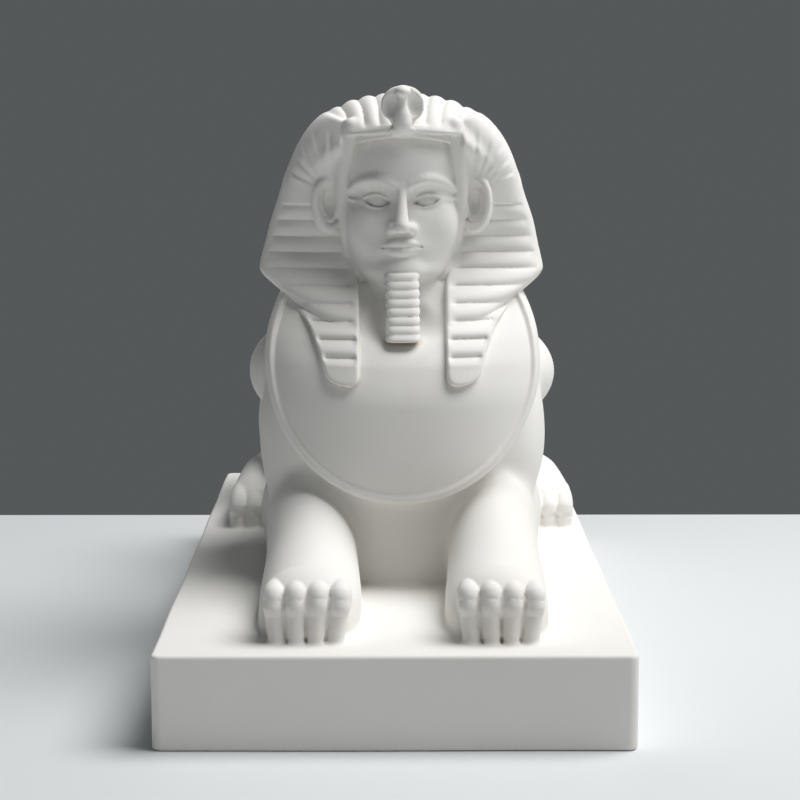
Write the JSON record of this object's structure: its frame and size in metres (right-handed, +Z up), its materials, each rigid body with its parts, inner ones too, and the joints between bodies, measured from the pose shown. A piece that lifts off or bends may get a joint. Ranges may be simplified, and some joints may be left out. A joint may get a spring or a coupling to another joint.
{
  "type": "sphinx statue",
  "caption": "Small cast plaster sphinx lying on a rectangular plinth: lion body, human head in a pleated headcloth, cobra on the brow, false beard and plain collar.",
  "frame": {"origin": "centre of the plinth's underside", "axes": "+Z up, -Y the way the face looks, +Y along the lion's back to the rump, +X to the statue's left"},
  "size_m": [0.11, 0.25, 0.1486],
  "materials": {
    "plaster": "matte white cast plaster, slightly warm in the hollows, with small casting pits"
  },
  "bodies": {
    "root": {"plaster_sphinx": "plaster"}
  },
  "joints": []
}
